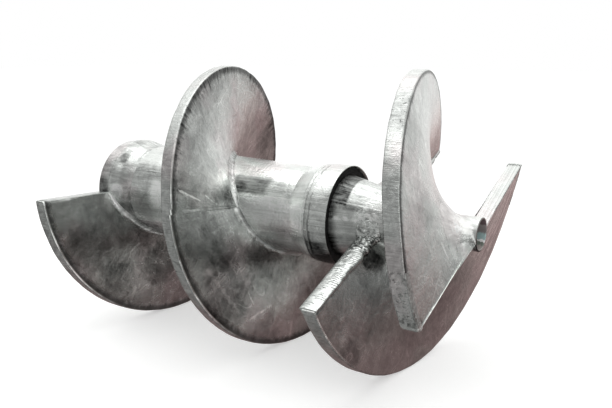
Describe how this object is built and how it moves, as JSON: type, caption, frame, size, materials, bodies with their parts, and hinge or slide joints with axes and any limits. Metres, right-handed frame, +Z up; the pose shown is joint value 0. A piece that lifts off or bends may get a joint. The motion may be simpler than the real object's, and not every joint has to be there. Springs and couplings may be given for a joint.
{
  "type": "archimedes screw rotor",
  "caption": "Archimedes screw rotor: a tapered hub with a right-hand helical flight, socketed to a coned nose section with opposed half-turn blades.",
  "frame": {"origin": "on the level surface that the rotor lies on, under the middle of its length and of its width", "axes": "+X along the screw's axis towards the nose, +Z up, with the axis 250 mm above the surface; +Y is the far side"},
  "size_m": [0.748, 0.5006, 0.5],
  "materials": {
    "hub_steel": "ground bright steel with smeared polishing marks",
    "cone_steel": "ground bright steel",
    "flight_steel": "mottled, hand-ground steel plate",
    "weld_steel": "bright weld metal, rippled or ground smooth",
    "hard_facing": "dark, pitted hard-facing weld",
    "seal_rubber": "matt black"
  },
  "bodies": {
    "root": {"rear_ring": "hub_steel", "rear_shoulder": "hub_steel", "hub_tube": "hub_steel", "hub_neck": "hub_steel", "collar_weld": "weld_steel", "socket_collar": "hub_steel", "mouth_seal": "seal_rubber", "flight_rear_turn": "flight_steel", "flight_front_half": "flight_steel", "flight_seam_weld": "weld_steel", "flight_turn_weld_front": "weld_steel", "flight_turn_weld_rear": "weld_steel", "flight_half_weld_front": "weld_steel", "flight_half_weld_rear": "weld_steel", "spigot": "cone_steel", "core_cone": "cone_steel", "nose_tube": "cone_steel", "blade_a": "flight_steel", "blade_a_weld_front": "weld_steel", "blade_a_weld_rear": "weld_steel", "blade_a_edge_bead": "weld_steel", "blade_a_root_buildup": "weld_steel", "blade_a_tip_strip": "hard_facing", "blade_b": "flight_steel", "blade_b_weld_front": "weld_steel", "blade_b_weld_rear": "weld_steel", "blade_b_edge_bead": "weld_steel", "blade_b_root_buildup": "weld_steel", "blade_b_tip_strip": "hard_facing"}
  },
  "joints": []
}
